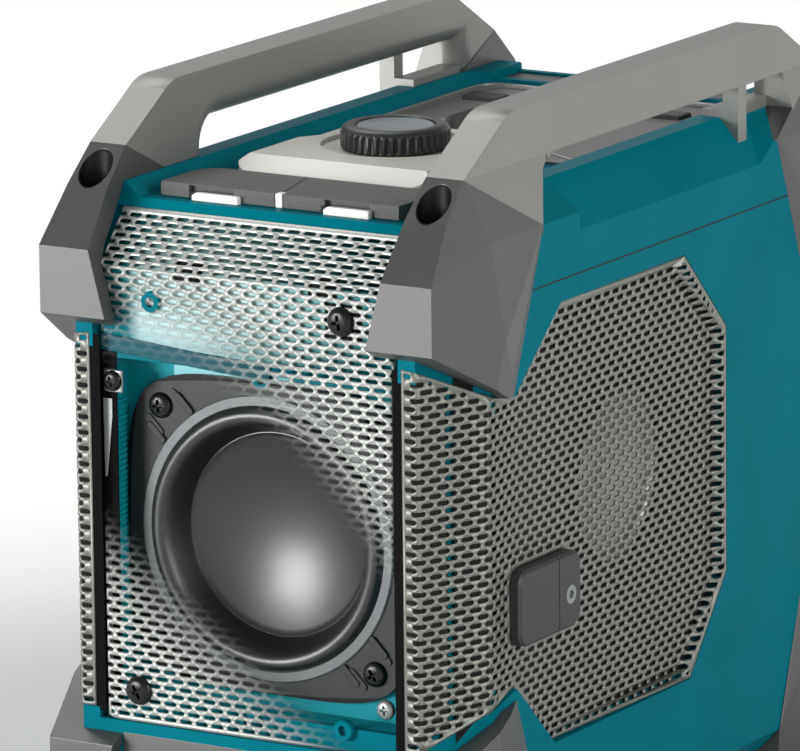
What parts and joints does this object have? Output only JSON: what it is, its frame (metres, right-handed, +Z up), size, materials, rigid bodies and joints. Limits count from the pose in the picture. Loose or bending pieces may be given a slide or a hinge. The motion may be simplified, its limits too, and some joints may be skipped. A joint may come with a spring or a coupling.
{
  "type": "jobsite radio",
  "caption": "Rugged jobsite radio with perforated grilles over its speakers, rubber corner bumpers, bar handles, a control knob and a battery bay.",
  "frame": {"origin": "on the floor, under the middle of the bounding box", "axes": "+Z up, X across the radio, Y along the handles, with the woofer end towards -Y"},
  "size_m": [0.169, 0.298, 0.268],
  "materials": {
    "housing": "moulded, fine grain",
    "grille": "satin silver paint on perforated sheet",
    "handle": "satin grey",
    "bumper": "matte",
    "trim": "matte grey",
    "bolt": "black",
    "basket": "black",
    "cone": "satin",
    "side_cone": "brushed",
    "magnet": "zinc grey",
    "plate": "matte",
    "socket": "matte",
    "flap": "matte",
    "tab": "matte",
    "panel": "silver grey",
    "bezel": "satin",
    "lens": "smoked",
    "board": "solder mask",
    "knob": "matte",
    "cap": "satin",
    "key": "matte",
    "steel_screw": "machined"
  },
  "bodies": {
    "chassis": {"lower_housing": "housing", "upper_housing": "housing", "end_baffle": "housing", "end_grille": "grille", "side_grille_left": "grille", "side_grille_right": "grille", "handle_left": "handle", "handle_right": "handle", "bumper_top_near_left": "bumper", "bumper_top_near_right": "bumper", "bumper_top_far_left": "bumper", "bumper_top_far_right": "bumper", "bumper_low_near_left": "bumper", "bumper_low_near_right": "bumper", "bumper_low_far_left": "bumper", "bumper_low_far_right": "bumper", "bumper_bolts": "bolt", "sill_near": "trim", "sill_far": "trim", "woofer_basket": "basket", "woofer_cone": "cone", "woofer_magnet": "magnet", "woofer_screws": "bolt", "speaker_plate_left": "plate", "speaker_plate_right": "plate", "side_speaker_left": "basket", "side_speaker_right": "basket", "side_cone_left": "side_cone", "side_cone_right": "side_cone", "power_socket": "socket", "cover_strap": "flap", "cover_screw": "steel_screw", "deck_strip": "trim", "port_divider": "tab", "usb_socket": "socket", "audio_socket": "socket", "control_panel": "panel", "encoder": "socket", "display_bezel": "bezel", "display_lens": "lens", "lcd_module": "socket", "battery_tub": "plate", "battery_terminal": "socket", "amplifier_board": "board", "control_board": "board"},
    "knob": {"knob": "knob", "knob_cap": "cap"},
    "port_cover_left": {"port_cover_left": "flap", "cover_tab_left": "tab"},
    "port_cover_right": {"port_cover_right": "flap", "cover_tab_right": "tab"},
    "power_cover": {"power_cover": "flap"},
    "battery_door": {"battery_door": "housing", "door_catch": "plate"},
    "key_1": {"key_1": "key"},
    "key_2": {"key_2": "key"},
    "key_3": {"key_3": "key"},
    "key_4": {"key_4": "key"},
    "key_5": {"key_5": "key"}
  },
  "joints": [
    {"name": "knob_turn", "type": "hinge", "parent": "chassis", "child": "knob", "pos_m": [0, -0.0444, 0.245], "axis": [0, 0, 1], "continuous": true},
    {"name": "port_cover_left_hinge", "type": "hinge", "parent": "chassis", "child": "port_cover_left", "pos_m": [-0.024, -0.0914, 0.239], "axis": [-1, 0, 0], "range_deg": [0, 110]},
    {"name": "port_cover_right_hinge", "type": "hinge", "parent": "chassis", "child": "port_cover_right", "pos_m": [0.024, -0.0914, 0.239], "axis": [-1, 0, 0], "range_deg": [0, 110]},
    {"name": "power_cover_hinge", "type": "hinge", "parent": "chassis", "child": "power_cover", "pos_m": [0.08115, -0.077, 0.103], "axis": [0, 0, 1], "range_deg": [0, 110]},
    {"name": "battery_door_hinge", "type": "hinge", "parent": "chassis", "child": "battery_door", "pos_m": [0, 0.138, 0.066], "axis": [-1, 0, 0], "range_deg": [0, 90]},
    {"name": "key_1_press", "type": "slide", "parent": "chassis", "child": "key_1", "axis": [0, 0, -1], "range_m": [0, 0.0008], "stiffness_N_per_m": 1200, "springref_m": -0.0006},
    {"name": "key_2_press", "type": "slide", "parent": "chassis", "child": "key_2", "axis": [0, 0, -1], "range_m": [0, 0.0008], "stiffness_N_per_m": 1200, "springref_m": -0.0006},
    {"name": "key_3_press", "type": "slide", "parent": "chassis", "child": "key_3", "axis": [0, 0, -1], "range_m": [0, 0.0008], "stiffness_N_per_m": 1200, "springref_m": -0.0006},
    {"name": "key_4_press", "type": "slide", "parent": "chassis", "child": "key_4", "axis": [0, 0, -1], "range_m": [0, 0.0008], "stiffness_N_per_m": 1200, "springref_m": -0.0006},
    {"name": "key_5_press", "type": "slide", "parent": "chassis", "child": "key_5", "axis": [0, 0, -1], "range_m": [0, 0.0008], "stiffness_N_per_m": 1200, "springref_m": -0.0006}
  ]
}
